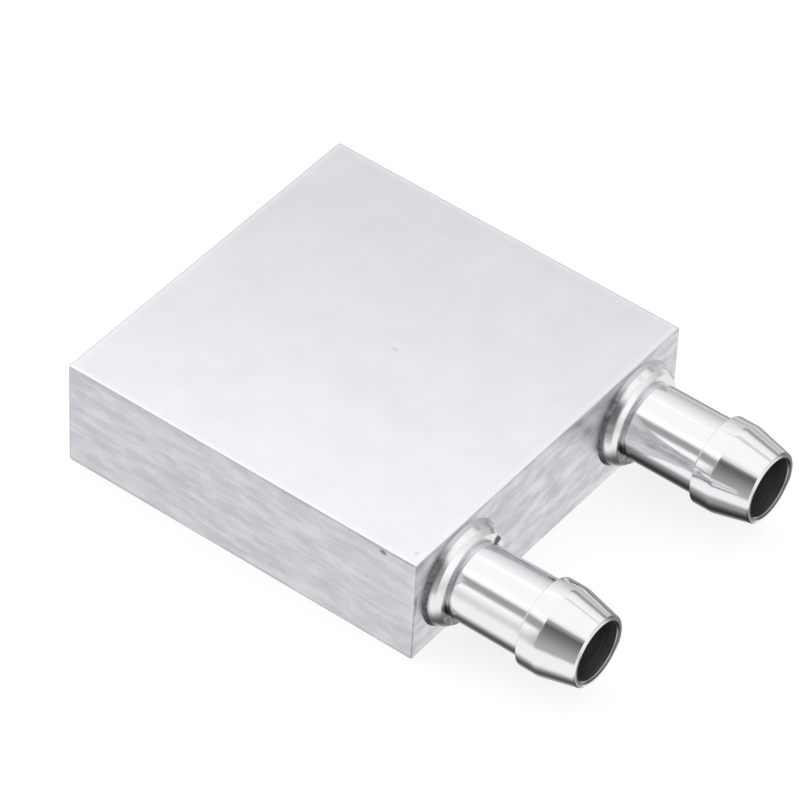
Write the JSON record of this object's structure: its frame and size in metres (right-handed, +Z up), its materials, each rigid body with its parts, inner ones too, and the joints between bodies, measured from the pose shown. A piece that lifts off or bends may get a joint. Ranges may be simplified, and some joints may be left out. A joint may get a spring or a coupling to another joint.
{
  "type": "liquid cooling cold plate",
  "caption": "Flat square aluminium cold plate with hidden finned channels between its end plates, fed by barbed hose nozzles on one end face.",
  "frame": {"origin": "centre of the block's flat bottom face, midway between the outer faces of its two end plates", "axes": "+Z up from the bottom face to the top face, +X out of the port end along the nozzles, inlet nozzle at -Y and outlet nozzle at +Y"},
  "size_m": [0.0555, 0.04, 0.012],
  "materials": {
    "extruded_aluminium": "satin mill finish with fine die lines along X",
    "milled_aluminium": "fine brushed lines along the plate",
    "turned_aluminium": "bright turned and polished"
  },
  "bodies": {
    "root": {"channel_extrusion": "extruded_aluminium", "return_end_plate": "milled_aluminium", "port_end_plate": "milled_aluminium", "inlet_nozzle": "turned_aluminium", "outlet_nozzle": "turned_aluminium"}
  },
  "joints": []
}
